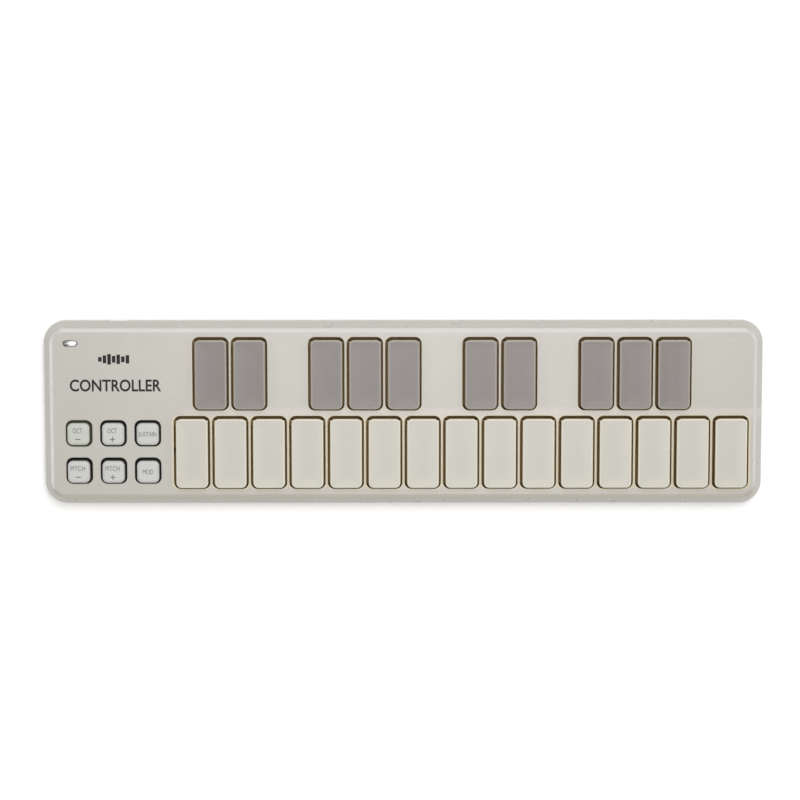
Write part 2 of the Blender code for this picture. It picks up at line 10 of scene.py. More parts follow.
import bmesh
import bpy
from mathutils import Matrix, Vector

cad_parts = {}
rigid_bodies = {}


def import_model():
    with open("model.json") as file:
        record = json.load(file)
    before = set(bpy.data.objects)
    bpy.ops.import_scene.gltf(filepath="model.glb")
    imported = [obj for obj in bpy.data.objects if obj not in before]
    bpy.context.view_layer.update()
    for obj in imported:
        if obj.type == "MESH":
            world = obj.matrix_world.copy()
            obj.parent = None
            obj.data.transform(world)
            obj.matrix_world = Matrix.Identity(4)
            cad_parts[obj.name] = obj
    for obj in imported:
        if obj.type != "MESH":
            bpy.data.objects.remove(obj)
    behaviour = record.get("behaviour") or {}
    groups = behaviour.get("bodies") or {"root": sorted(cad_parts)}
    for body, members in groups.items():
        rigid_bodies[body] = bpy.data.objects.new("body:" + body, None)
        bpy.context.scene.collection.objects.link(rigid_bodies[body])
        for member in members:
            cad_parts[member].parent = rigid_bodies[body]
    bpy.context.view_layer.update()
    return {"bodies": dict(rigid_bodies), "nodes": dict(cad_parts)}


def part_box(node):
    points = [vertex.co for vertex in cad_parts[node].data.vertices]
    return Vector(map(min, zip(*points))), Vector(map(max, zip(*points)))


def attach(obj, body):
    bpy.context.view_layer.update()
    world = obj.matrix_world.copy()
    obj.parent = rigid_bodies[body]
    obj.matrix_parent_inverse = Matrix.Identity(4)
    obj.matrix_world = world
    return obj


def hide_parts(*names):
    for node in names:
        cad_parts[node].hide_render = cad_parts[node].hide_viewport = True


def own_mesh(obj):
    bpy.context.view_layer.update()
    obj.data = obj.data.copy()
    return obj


MM = 0.001
CORNER_STEPS = 8
PRINT_THICKNESS = 0.03
UPRIGHT = 0.3  # a face whose normal rises by less than this is a wall
FONT_CAP_SHARE = 0.65  # of the built-in font's size

# Case, inwards from the widest outline and up from the desk. Paths are (point, corner radius) pairs.
CASE_CORNER = 10.0
PANEL_UNDERSIDE = 12.0
PANEL_EDGE_INSET = 6.2
PARTING_Z = 5.4
PARTING_GAP = 0.3
WALL = 1.9
TOP_PROFILE = (
    ((0.0, PARTING_Z), 0.0),
    ((0.0, 7.2), 5.0),
    ((3.0, 12.75), 1.2),
    ((4.85, 13.8), 0.3),
    ((PANEL_EDGE_INSET, 13.8), 0.0),
)
TOP_INSIDE = ((PANEL_EDGE_INSET, PANEL_UNDERSIDE), (4.5, 11.5), (WALL, 6.2), (WALL, PARTING_Z))
BOTTOM_PROFILE = (
    ((PANEL_EDGE_INSET, 1.0), 0.0),
    ((3.0, 1.0), 1.2),
    ((1.2, 1.6), 1.2),
    ((0.25, 3.0), 1.5),
    ((0.25, PARTING_Z - PARTING_GAP), 0.0),
)
FLOOR_TOP = 2.6
LIP_TOP = 6.4
BOTTOM_INSIDE = (
    (WALL + PARTING_GAP, PARTING_Z - PARTING_GAP),
    (WALL + PARTING_GAP, LIP_TOP),
    (3.3, LIP_TOP),
    (3.3, FLOOR_TOP),
)

# Keys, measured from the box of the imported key.
PIN_REACH = 0.95
LIP_REACH = 1.5
LIP_HALF_X = 4.5
LIP_Z = (10.9, 11.6)
CAP_CORNER = 2.3
CAP_BOTTOM = 11.1
CAP_WALL = 1.2
CAP_ROOF_UNDERSIDE = 14.5
KEY_EDGE_RADIUS = 0.6
KEY_PLAY_X = 0.15  # the keys lie a hair towards the high notes in their wells
DISH_DEPTH = 0.15
WELL_SIDE = 0.95
WELL_REAR = 1.2
WELL_FRONT = 0.55
WELL_CORNER = 2.9
WELL_EDGE = 0.2
HINGE_FROM_CAP_REAR = 1.6
HINGE_Z = 9.2
PIN_RADIUS = 0.85
CHEEK_X = (5.9, 7.1)
CHEEK_Y = (-1.5, 0.9)
CHEEK_BOTTOM = 8.1
PLUNGER_FROM_HINGE = 16.0
PLUNGER_RADIUS = 1.8
PLUNGER_BOTTOM = 9.5

# Buttons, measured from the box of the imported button.
BUTTON_FLANGE_REACH = 1.65
BUTTON_CLEARANCE = 1.1
BUTTON_CORNER = 2.2
BUTTON_HOLE_CORNER = 3.0
BUTTON_EDGE_RADIUS = 1.2
BUTTON_DRAFT = 0.35
BUTTON_PLAY_X = -0.3
BUTTON_PLAY_Y = (-0.35, -0.55)  # rear row, front row
BUTTON_FLANGE_Z = (10.7, 11.7)

# Contact sheets.
SHEET_Z = (5.4, 6.2)
SHEET_CORNER = 1.5
DOME_TOP = 9.2
DOME_FOOT_RADIUS = 4.0
DOME_TOP_RADIUS = 2.2
DOME_WALL = 0.8
DOME_CENTRE_RADIUS = 0.3
DOME_SIDES = 28

# Screws, feet and the marks on the underside.
BOSS_RADIUS = 2.4
BOSS_BOTTOM = 3.9
PILOT_RADIUS = 1.15
CASE_PILOT_TOP = 10.8
SHANK_RADIUS = 0.95
BORE_RADIUS = 1.25
SEAT_RADIUS = 3.4
SEAT_TOP = 3.6
COUNTERBORE_RADIUS = 2.6
COUNTERBORE_TOP = 2.4
SCREW_HEAD_HEIGHT = 1.1
FOOT_RECESS_CLEARANCE = 0.3
FOOT_RECESS_TOP = 1.7
FOOT_SIDES = 48
LABEL_HALF = (34.0, 11.0)
LABEL_DEPTH = 0.15

# USB socket and power light.
USB_HALF_TOP = 3.85
USB_HALF_BOTTOM = 3.0
USB_BEND_HEIGHT = 1.3
USB_METAL = 0.3
USB_OPENING_DEPTH = 5.0
LENS_CLEARANCE = 0.2
LENS_COLLAR = 1.0  # its width and its thickness
LENS_COLLAR_GAP = 0.3

# Colours, as base colours in linear light.
CASE_COLOUR = (0.398, 0.381, 0.343)
# painted warm brown shade down the key wells, standing in for light bounced between the walls
WELL_PAINTED_SHADE_COLOUR = (0.25, 0.163, 0.055)
# painted warm glow on the panel round the wells, standing in for light through the plastic
WELL_PAINTED_GLOW_COLOUR = (0.52, 0.465, 0.345)
GLOW_REACH = 0.9  # mm from the edge of a well
BLACK_ROW_GLOW = 0.35  # of the white row's
NEIGHBOUR_GLOW = 0.5  # mm that the glow spreads further towards the next well
RIDGE_PAINTED_LIGHT_COLOUR = (0.452, 0.430, 0.384)  # painted light on the strip between the two rows, where light comes from both
RIDGE_REACH = (0.6, 3.6)  # mm from the middle of the ridge, over which it fades out
RIDGE_FADE = 12.0  # mm from the left end of the rows, over which it fades in
# painted near-black shade down the walls of the button holes
BUTTON_HOLE_PAINTED_SHADE = (0.12, 0.115, 0.105)
# painted highlight on the bevel round the panel, where the low strips would catch it
BEVEL_PAINTED_HIGHLIGHT = (0.475, 0.465, 0.435)
BEVEL_INSET = (3.1, 4.85)
BEVEL_FADE = (-37.0, -28.0)  # Y over which the bevel's painted highlight fades in: along the front the bevel isn't painted paler
# Of a key's face, its painted glow along the rim and the painted brown shade on its sides, and the width
# of the rim.
WHITE_KEY_COLOURS = ((0.449, 0.432, 0.382), (0.60, 0.565, 0.465), (0.22, 0.145, 0.05))
WHITE_KEY_RIM = 0.8
BLACK_KEY_COLOURS = ((0.165, 0.147, 0.136), (0.300, 0.270, 0.227), (0.13, 0.095, 0.055))
BLACK_KEY_RIM = 0.9
# Of a button's face, its painted pale edge, and its flange, which is near-black painted shade.
BUTTON_COLOURS = ((0.452, 0.455, 0.440), (0.52, 0.52, 0.50), (0.008, 0.008, 0.009))
LIT_BUTTON = "octave_down_button"
# the lit button's colours hold a painted greenish glow from the lamp under it
PAINTED_GLOW_BUTTON_COLOURS = ((0.436, 0.448, 0.402), (0.50, 0.52, 0.43), (0.055, 0.06, 0.025))
# painted warm brown shade on the key frame seen down the gaps
FRAME_PAINTED_SHADE_COLOUR = (0.34, 0.215, 0.08)
FELT_COLOUR = (0.11, 0.072, 0.03)
WALL_SPECULAR = 0.1  # of faces down in the gaps, which see little but each other

# Prints. A legend is (text, height and width of the word, place on the button).
SIGN_PLACE = (-0.2, -2.3)
WORD_PLACE = (-0.3, 1.5)
SIGN_SIZE = 2.3
SIGN_STROKE = 0.42
OCTAVE_WORD = ("OCT", 2.1, 4.25, WORD_PLACE)
PITCH_WORD = ("PITCH", 2.0, 6.4, WORD_PLACE)
LEGENDS = {
    "octave_down_button": (OCTAVE_WORD, "minus"),
    "octave_up_button": (OCTAVE_WORD, "plus"),
    "sustain_button": (("SUSTAIN", 1.9, 7.95, (0.0, 0.0)), None),
    "pitch_down_button": (PITCH_WORD, "minus"),
    "pitch_up_button": (PITCH_WORD, "plus"),
    "modulation_button": (("MOD", 2.0, 4.7, (0.0, 0.0)), None),
}
BARS_PLACE = (-129.5, 24.5)
BARS_WIDTH = 14.4
BARS_HEIGHT = 4.7
BAR_HEIGHTS = (0.45, 0.75, 1.0, 0.65, 0.9, 0.55, 0.8)
BAR_FILL = 0.76
TITLE_PLACE = (-129.3, 12.4)
TITLE_CAP_HEIGHT = 4.8
TITLE_WIDTH = 41.0
TITLE_OFFSET = 0.15

# Camera, in metres and radians.
CAMERA_HEIGHT = 1.1
CAMERA_TILT = radians(6.0)
CAMERA_ROLL = radians(-0.04)
CAMERA_AIM = Vector((-0.00149, 0.00538, 0.007))
VIEW_WIDTH = 0.3612


# ---- meshes ---------------------------------------------------------------------------------------


def outline(half_x, half_y, radius, steps=CORNER_STEPS, centre=(0.0, 0.0)):
    """Anticlockwise points of a rectangle with round corners."""
    points = []
    for quarter, (side_x, side_y) in enumerate(((1, 1), (-1, 1), (-1, -1), (1, -1))):
        for step in range(steps + 1):
            angle = (quarter + step / steps) * pi / 2
            x = centre[0] + side_x * (half_x - radius) + radius * cos(angle)
            y = centre[1] + side_y * (half_y - radius) + radius * sin(angle)
            points.append((x, y))
    return points


def circle(radius, sides, centre=(0.0, 0.0)):
    turns = [2 * pi * (side + 0.5) / sides for side in range(sides)]
    return [(centre[0] + radius * cos(turn), centre[1] + radius * sin(turn)) for turn in turns]


def arc_corner(before, corner, after, radius, steps=6):
    """Points of the arc that rounds one corner of a path."""
    u, v = (before - corner).normalized(), (after - corner).normalized()
    half = u.angle(v) / 2
    start, end = (corner + side * radius / tan(half) for side in (u, v))
    centre = corner + (u + v).normalized() * radius / sin(half)
    spokes = [(start - centre).lerp(end - centre, step / steps) for step in range(steps + 1)]
    return [centre + spoke.normalized() * radius for spoke in spokes]


def rounded_path(path, steps=6):
    """Points of a path given as (point, corner radius) pairs."""
    points = [Vector(point) for point, _ in path]
    result = [points[0]]
    for i in range(1, len(path) - 1):
        radius = path[i][1]
        if radius:
            result += arc_corner(points[i - 1], points[i], points[i + 1], radius, steps)
        else:
            result.append(points[i])
    return result + [points[-1]]


def add_loft(shape, sections):
    """Adds a closed body through sections, each (outline, z), with the first and last filled."""
    rings = [[shape.verts.new((x, y, z)) for x, y in points] for points, z in sections]
    count = len(rings[0])
    faces = [shape.faces.new(rings[0]), shape.faces.new(rings[-1])]
    for lower, upper in zip(rings, rings[1:]):
        for i in range(count):
            j = (i + 1) % count
            faces.append(shape.faces.new((lower[i], lower[j], upper[j], upper[i])))
    bmesh.ops.recalc_face_normals(shape, faces=faces)
    return [vert for ring in rings for vert in ring]


def add_prism(shape, points, low, high):
    return add_loft(shape, ((points, low), (points, high)))


def add_cylinder(shape, radius, low, high, centre=(0.0, 0.0), sides=24):
    return add_prism(shape, circle(radius, sides, centre), low, high)


def add_box(shape, x, y, z):
    corners = ((x[0], y[0]), (x[1], y[0]), (x[1], y[1]), (x[0], y[1]))
    return add_prism(shape, corners, *z)


def add_bar_along_x(shape, radius, x, sides=24):
    verts = add_cylinder(shape, radius, x[0], x[1], sides=sides)
    bmesh.ops.transform(shape, matrix=Matrix.Rotation(radians(90), 4, "Y"), verts=verts)


def lofted(sections):
    shape = bmesh.new()
    add_loft(shape, sections)
    return shape


def mesh_of(shape, name):
    mesh = bpy.data.meshes.new(name)
    shape.to_mesh(mesh)
    shape.free()
    return mesh


def combined(base, tools, operation):
    pair = [bpy.data.objects.new("shape", mesh_of(shape, "shape")) for shape in (base, tools)]
    for item in pair:
        bpy.context.scene.collection.objects.link(item)
    modifier = pair[0].modifiers.new("Boolean", "BOOLEAN")
    modifier.operation = operation
    modifier.object = pair[1]
    result = bmesh.new()
    result.from_object(pair[0], bpy.context.evaluated_depsgraph_get())
    for item in pair:
        bpy.data.objects.remove(item)
    return result


def joined(base, tools):
    return combined(base, tools, "UNION")


def cut(base, tools):
    return combined(base, tools, "DIFFERENCE")


def round_rims(shape, z, width, segments=3):
    """Rounds the edges between the flat face at height z and the upright walls that meet it."""
    flat = [edge for edge in shape.edges if all(abs(vert.co.z - z) < 1e-3 for vert in edge.verts)]
    rims = []
    for edge in flat:
        normals = [abs(face.normal.z) for face in edge.link_faces]
        if len(normals) == 2 and min(normals) < 0.1 and max(normals) > 0.9:
            rims.append(edge)
    bmesh.ops.bevel(
        shape, geom=rims, offset=width, segments=segments, affect="EDGES", profile=0.5,
        clamp_overlap=True,
    )


def as_piece(name, mesh, material, body, origin=(0.0, 0.0, 0.0), replaces=()):
    """Makes an object of a mesh drawn in millimetres about origin, and lets it ride on a body."""
    if not mesh.get("in_metres"):
        mesh.transform(Matrix.Scale(MM, 4))
        mesh["in_metres"] = True
        mesh.materials.append(material)
        mesh.shade_smooth()
        mesh.set_sharp_from_angle(angle=radians(40))
    item = bpy.data.objects.new(name, mesh)
    item.location = Vector(origin) * MM
    bpy.context.scene.collection.objects.link(item)
    normals = item.modifiers.new("Even shading", "WEIGHTED_NORMAL")
    normals.keep_sharp = True
    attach(item, body)
    if replaces:
        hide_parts(*replaces)
    return item


def words(text, cap_height, width, offset=0.0):
    """A flat mesh of one line of text in the built-in font, centred on the origin."""
    curve = bpy.data.curves.new("words", "FONT")
    curve.body = text
    curve.align_x = "CENTER"
    curve.align_y = "CENTER"
    curve.size = cap_height / FONT_CAP_SHARE
    curve.offset = offset
    curve.extrude = PRINT_THICKNESS / 2
    curve.resolution_u = 4
    item = bpy.data.objects.new("words", curve)
    bpy.context.scene.collection.objects.link(item)
    mesh = bpy.data.meshes.new_from_object(item)
    bpy.data.objects.remove(item)
    natural = [vert.co.x for vert in mesh.vertices]
    stretch = width / (max(natural) - min(natural))
    mesh.transform(Matrix.Translation((0, 0, PRINT_THICKNESS / 2)) @ Matrix.Diagonal((stretch, 1, 1, 1)))
    return mesh


def box_mm(node):
    low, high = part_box(node)
    return low / MM, high / MM


def middle(node):
    low, high = box_mm(node)
    return (low + high) / 2


def half_size(node):
    low, high = box_mm(node)
    return (high - low) / 2


# ---- materials ------------------------------------------------------------------------------------


class Finish:
    """A Principled material with a few helpers that add nodes to it."""

    def __init__(self, name, colour, roughness, metallic=0.0, **sockets):
        self.material = bpy.data.materials.new(name)
        self.material.use_nodes = True
        self.tree = self.material.node_tree
        self.shader = self.tree.nodes["Principled BSDF"]
        self.shader.inputs["Base Color"].default_value = (*colour, 1.0)
        self.shader.inputs["Roughness"].default_value = roughness
        self.shader.inputs["Metallic"].default_value = metallic
        for socket, value in sockets.items():
            self.shader.inputs[socket.replace("_", " ")].default_value = value
        self.coordinates = self.node("ShaderNodeTexCoord").outputs["Object"]

    def node(self, kind, **settings):
        node = self.tree.nodes.new(kind)
        for key, value in settings.items():
            setattr(node, key, value)
        return node

    def link(self, source, target):
        self.tree.links.new(source, target)

    def noise(self, size_mm, detail=2.0):
        """Noise whose features are about size_mm across."""
        node = self.node("ShaderNodeTexNoise")
        node.inputs["Scale"].default_value = 1 / (size_mm * MM)
        node.inputs["Detail"].default_value = detail
        self.link(self.coordinates, node.inputs["Vector"])
        return node.outputs["Fac"]

    def axes(self):
        """The X, Y and Z of the point on the piece, in millimetres."""
        node = self.node("ShaderNodeSeparateXYZ")
        self.link(self.coordinates, node.inputs["Vector"])
        return [self.math("MULTIPLY", socket, 1 / MM) for socket in node.outputs]

    def remap(self, value, source, target, smooth=False):
        node = self.node("ShaderNodeMapRange")
        if smooth:
            node.interpolation_type = "SMOOTHSTEP"
        for socket, number in zip(("From Min", "From Max", "To Min", "To Max"), source + target):
            node.inputs[socket].default_value = number
        self.link(value, node.inputs["Value"])
        return node.outputs["Result"]

    def math(self, operation, *values):
        node = self.node("ShaderNodeMath", operation=operation)
        for socket, value in zip(node.inputs, values):
            if isinstance(value, (int, float)):
                socket.default_value = value
            else:
                self.link(value, socket)
        return node.outputs[0]

    def inside_edge(self, half_x, half_y, corner, centre):
        """How far the point is inside a rectangle with round corners, in millimetres."""
        x, y, _ = self.axes()
        x, y = self.math("SUBTRACT", x, centre[0]), self.math("SUBTRACT", y, centre[1])
        return self.inside_shape(x, y, half_x, half_y, corner)

    def inside_shape(self, x, y, half_x, half_y, corner):
        """The same, for coordinates that are already taken from the rectangle's middle."""
        over = []
        for value, half in ((x, half_x), (y, half_y)):
            distance = self.math("ABSOLUTE", value)
            over.append(self.math("SUBTRACT", distance, half - corner))
        squares = []
        for value in over:
            outward = self.math("MAXIMUM", value, 0.0)
            squares.append(self.math("MULTIPLY", outward, outward))
        outer = self.math("SQRT", self.math("ADD", *squares))
        inner = self.math("MINIMUM", self.math("MAXIMUM", *over), 0.0)
        return self.math("SUBTRACT", corner, self.math("ADD", outer, inner))

    def near_wells(self, names, reach):
        """1 round the wells of a row of keys and between them, falling to 0 at reach millimetres."""
        centres = [well_shape(name)[0] for name in names]
        _, half_x, half_y = well_shape(names[0])
        x, y, _ = self.axes()
        steps = [round((centre[0] - centres[0][0]) / KEY_PITCH) for centre in centres]
        along = self.math("DIVIDE", self.math("SUBTRACT", x, centres[0][0]), KEY_PITCH)
        step = self.math("MINIMUM", self.math("MAXIMUM", self.math("ROUND", along), 0.0), steps[-1])
        local_x = self.math("MULTIPLY", self.math("SUBTRACT", along, step), KEY_PITCH)
        local_y = self.math("SUBTRACT", y, centres[0][1])
        inside = self.inside_shape(local_x, local_y, half_x + NEIGHBOUR_GLOW, half_y, WELL_CORNER)
        near = self.remap(inside, (-reach, 0.0), (0.0, 1.0), smooth=True)
        for bare in set(range(steps[-1])) - set(steps):
            apart = self.math("ABSOLUTE", self.math("SUBTRACT", step, bare))
            near = self.math("MULTIPLY", near, self.math("GREATER_THAN", apart, 0.5))
        return near

    def mix(self, factor, first, second):
        node = self.node("ShaderNodeMix", data_type="RGBA")
        self.link(factor, node.inputs["Factor"])
        for socket, colour in zip((node.inputs[6], node.inputs[7]), (first, second)):
            if isinstance(colour, tuple):
                socket.default_value = (*colour, 1.0)
            else:
                self.link(colour, socket)
        return node.outputs[2]

    def clouded(self, colour, spread, size_mm=22.0):
        """The colour, a little darker in some places and lighter in others."""
        clouds = self.remap(self.noise(size_mm, 3.0), (0.3, 0.7), (0.0, 1.0))
        return self.mix(clouds, tint(colour, 1 - spread), tint(colour, 1 + spread))

    def colour(self, value):
        self.link(value, self.shader.inputs["Base Color"])

    def roughness(self, value):
        self.link(value, self.shader.inputs["Roughness"])

    def polish(self, roughness, spread=0.04, size_mm=3.0):
        value = self.remap(
            self.noise(size_mm, 4.0), (0.3, 0.7), (roughness - spread, roughness + spread)
        )
        self.roughness(value)

    def bump(self, height, depth_mm, strength=1.0):
        node = self.node("ShaderNodeBump")
        node.inputs["Strength"].default_value = strength
        node.inputs["Distance"].default_value = depth_mm * MM
        self.link(height, node.inputs["Height"])
        self.link(node.outputs["Normal"], self.shader.inputs["Normal"])


def tint(colour, factor):
    return tuple(min(channel * factor, 1.0) for channel in colour)


def moulded(name, colour, roughness=0.45, grain_mm=0.25, depth_mm=0.01, spread=0.03, specular=0.5):
    """Moulded plastic: a fine sparked grain, faint clouding and uneven polish."""
    finish = Finish(name, colour, roughness, Specular_IOR_Level=specular)
    finish.colour(finish.clouded(colour, spread))
    finish.polish(roughness)
    finish.bump(finish.noise(grain_mm, 2.0), depth_mm)
    return finish.material


def case_plastic(name, specular=0.5):
    """The top cover's plastic, with painted light and shade: a warm glow round the wells, a paler ridge
    between the rows and a paler bevel, and brown or near-black shade down in the wells and button holes.
    """
    finish = Finish(name, CASE_COLOUR, 0.3, Specular_IOR_Level=specular)
    # painted glow round the wells of both rows
    white_row, black_row = (finish.near_wells(names, GLOW_REACH) for names in (WHITE_KEYS, BLACK_KEYS))
    glow = finish.math("MAXIMUM", white_row, finish.math("MULTIPLY", black_row, BLACK_ROW_GLOW))
    x, y, z = finish.axes()
    by_keys = finish.remap(x, (KEYS_LEFT - 1.0, KEYS_LEFT), (0.0, 1.0))
    # painted light on the ridge between the two rows of wells
    from_ridge = finish.math("ABSOLUTE", finish.math("SUBTRACT", y, RIDGE_Y))
    ridge = finish.remap(from_ridge, RIDGE_REACH, (1.0, 0.0), smooth=True)
    among_keys = finish.remap(x, (KEYS_LEFT, KEYS_LEFT + RIDGE_FADE), (0.0, 1.0), smooth=True)
    ridge = finish.math("MULTIPLY", ridge, among_keys)
    on_top = finish.mix(ridge, finish.clouded(CASE_COLOUR, 0.015), RIDGE_PAINTED_LIGHT_COLOUR)
    on_top = finish.mix(glow, on_top, WELL_PAINTED_GLOW_COLOUR)
    inward = finish.inside_edge(CASE_HALF_X, CASE_HALF_Y, CASE_CORNER, (0.0, 0.0))
    # painted shade: the walls down in the wells and button holes take a darker colour
    deep = finish.remap(z, (PANEL_TOP - 0.5, PANEL_TOP - 0.15), (1.0, 0.0), smooth=True)
    in_well = finish.math("MULTIPLY", deep, finish.remap(inward, (5.3, 5.8), (0.0, 1.0)))
    # painted highlight along the bevel, fading out along the front
    outer, inner = BEVEL_INSET
    bevel = finish.math(
        "MULTIPLY",
        finish.remap(inward, (outer - 0.3, outer + 0.5), (0.0, 1.0), smooth=True),
        finish.remap(inward, (inner - 0.1, inner + 0.3), (1.0, 0.0), smooth=True),
    )
    behind_front = finish.remap(y, BEVEL_FADE, (0.0, 1.0), smooth=True)
    on_top = finish.mix(finish.math("MULTIPLY", bevel, behind_front), on_top, BEVEL_PAINTED_HIGHLIGHT)
    hole_shade_colour = finish.mix(by_keys, BUTTON_HOLE_PAINTED_SHADE, WELL_PAINTED_SHADE_COLOUR)
    finish.colour(finish.mix(in_well, on_top, hole_shade_colour))
    grain = finish.remap(finish.noise(6.0, 4.0), (0.3, 0.7), (0.27, 0.31))
    finish.roughness(finish.math("SUBTRACT", grain, finish.math("MULTIPLY", bevel, 0.12)))
    finish.bump(finish.noise(0.5, 2.0), 0.002)
    return finish.material


def key_plastic(name, colours, rim_mm, specular=0.5):
    """Satin plastic with painted light and shade: a pale glow along its rim, a slightly darker middle of
    its dish, and warm brown shade on its sides.
    """
    colour, rim_glow_colour, side_shade_colour = colours
    roughness = 0.36
    finish = Finish(name, colour, roughness, Specular_IOR_Level=specular)
    _, half_x, half_y = key_cap(WHITE_KEYS[0])
    centre = (0.0, HINGE_FROM_CAP_REAR - half_y)
    depth = finish.inside_edge(half_x, half_y, CAP_CORNER, centre)
    # painted glow along the rim of the key
    rim_glow = finish.remap(depth, (rim_mm * 0.5, rim_mm), (1.0, 0.0), smooth=True)
    _, _, z = finish.axes()
    # painted shade, a little darker towards the middle of the dish
    dish_shade = finish.remap(depth, (1.1, 6.6), (0.0, 0.6), smooth=True)
    face = finish.mix(dish_shade, finish.clouded(colour, 0.02, 9.0), tint(colour, 0.93))
    top = finish.mix(rim_glow, face, rim_glow_colour)
    # painted warm shade on the sides, lower down the key
    height = finish.math("ADD", z, HINGE_Z - KEY_TOP)
    side = finish.remap(height, (-2.2, -0.5), (1.0, 0.0), smooth=True)
    finish.colour(finish.mix(side, top, side_shade_colour))
    finish.polish(roughness, 0.02, 6.0)
    finish.bump(finish.noise(0.4, 2.0), 0.003)
    return finish.material


def button_plastic(name, colour, edge_light_colour, low_shade_colour):
    """Milky translucent plastic, with a painted pale edge and painted dark shade low down where it meets
    its flange.
    """
    roughness = 0.4
    finish = Finish(name, colour, roughness)
    depth = finish.inside_edge(BUTTON_HALF, BUTTON_HALF, BUTTON_CORNER, (0.0, 0.0))
    # painted light along the edge of the button
    edge = finish.remap(depth, (0.0, 0.6), (1.0, 0.0), smooth=True)
    top = finish.mix(edge, finish.clouded(colour, 0.02, 6.0), edge_light_colour)
    # painted shade, darkening to near-black towards the flange
    low_shade = finish.remap(finish.axes()[2], (-3.4, -0.4), (1.0, 0.0), smooth=True)
    finish.colour(finish.mix(low_shade, top, low_shade_colour))
    finish.polish(roughness, 0.02, 4.0)
    finish.bump(finish.noise(0.4, 2.0), 0.003)
    return finish.material


def flange_painted_shade(name, colour):
    """The flange that a button is moulded on, coloured near-black as painted shade under the panel."""
    roughness = 0.7
    finish = Finish(name, colour, roughness, Specular_IOR_Level=0.15)
    finish.colour(finish.clouded(colour, 0.1, 3.0))
    finish.polish(roughness, 0.05)
    return finish.material


def lens_plastic():
    """A clear light guide, its colour a painted reflection: dark at its left end, bright towards the
    right, and dimmer again at its right end.
    """
    finish = Finish("light_guide", (0.5, 0.5, 0.5), 0.06, Coat_Weight=0.5)
    x, _, _ = finish.axes()
    # painted reflection along the guide, mottled a little
    rising = finish.remap(x, (-2.4, 1.0), (0.0, 1.0), smooth=True)
    falling = finish.remap(x, (1.6, 2.9), (1.0, 0.35), smooth=True)
    along = finish.math("MULTIPLY", rising, falling)
    wave = finish.remap(finish.noise(1.2, 2.0), (0.35, 0.65), (-0.18, 0.18))
    painted_reflection = finish.math("ADD", along, wave)
    finish.colour(finish.mix(painted_reflection, (0.09, 0.10, 0.10), (0.78, 0.79, 0.78)))
    return finish.material


def ink(name, colour, roughness=0.5):
    """Pad-printed ink, with the slight thinning that such prints show."""
    finish = Finish(name, colour, roughness, Specular_IOR_Level=0.15)
    thin = finish.remap(finish.noise(0.35, 3.0), (0.4, 0.7), (0.0, 1.0))
    finish.colour(finish.mix(thin, colour, tint(colour, 1.25)))
    finish.polish(roughness, 0.05, 0.5)
    return finish.material


def board_laminate():
    """Solder mask over copper pours."""
    green, copper_green = (0.012, 0.085, 0.04), (0.022, 0.14, 0.06)
    roughness = 0.35
    finish = Finish("solder_mask", green, roughness)
    pours = finish.node("ShaderNodeTexBrick", offset=0.5, squash=1.0)
    finish.link(finish.coordinates, pours.inputs["Vector"])
    pours.inputs["Scale"].default_value = 1 / MM / 9.0
    pours.inputs["Mortar Size"].default_value = 0.03
    pours.inputs["Color1"].default_value = (*copper_green, 1.0)
    pours.inputs["Color2"].default_value = (*tint(copper_green, 0.9), 1.0)
    pours.inputs["Mortar"].default_value = (*green, 1.0)
    finish.colour(pours.outputs["Color"])
    finish.polish(roughness, 0.05)
    finish.bump(pours.outputs["Fac"], 0.03)
    return finish.material


def metal(name, colour, roughness, scratch_mm=0.12):
    """Plated steel with fine drawn streaks."""
    finish = Finish(name, colour, roughness, metallic=1.0)
    streaks = finish.node("ShaderNodeTexNoise")
    mapping = finish.node("ShaderNodeMapping")
    mapping.inputs["Scale"].default_value = (1.0, 12.0, 1.0)
    finish.link(finish.coordinates, mapping.inputs["Vector"])
    finish.link(mapping.outputs["Vector"], streaks.inputs["Vector"])
    streaks.inputs["Scale"].default_value = 0.1 / (scratch_mm * MM)
    value = streaks.outputs["Fac"]
    finish.roughness(finish.remap(value, (0.3, 0.7), (roughness - 0.08, roughness + 0.1)))
    finish.colour(finish.mix(value, tint(colour, 0.9), tint(colour, 1.08)))
    finish.bump(value, 0.004)
    return finish.material


def silicone_rubber(name, colour):
    roughness = 0.62
    finish = Finish(name, colour, roughness, Subsurface_Weight=0.05, Subsurface_Scale=0.001)
    finish.colour(finish.clouded(colour, 0.08, 4.0))
    finish.polish(roughness, 0.06)
    finish.bump(finish.noise(0.2, 3.0), 0.01)
    return finish.material


def pressed_felt():
    """Matted short fibres."""
    finish = Finish("pressed_felt", FELT_COLOUR, 0.95, Sheen_Weight=0.4)
    fibres = finish.noise(0.12, 6.0)
    finish.colour(finish.mix(fibres, tint(FELT_COLOUR, 0.6), tint(FELT_COLOUR, 1.8)))
    finish.bump(fibres, 0.08)
    return finish.material


# ---- the instrument -------------------------------------------------------------------------------

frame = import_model()

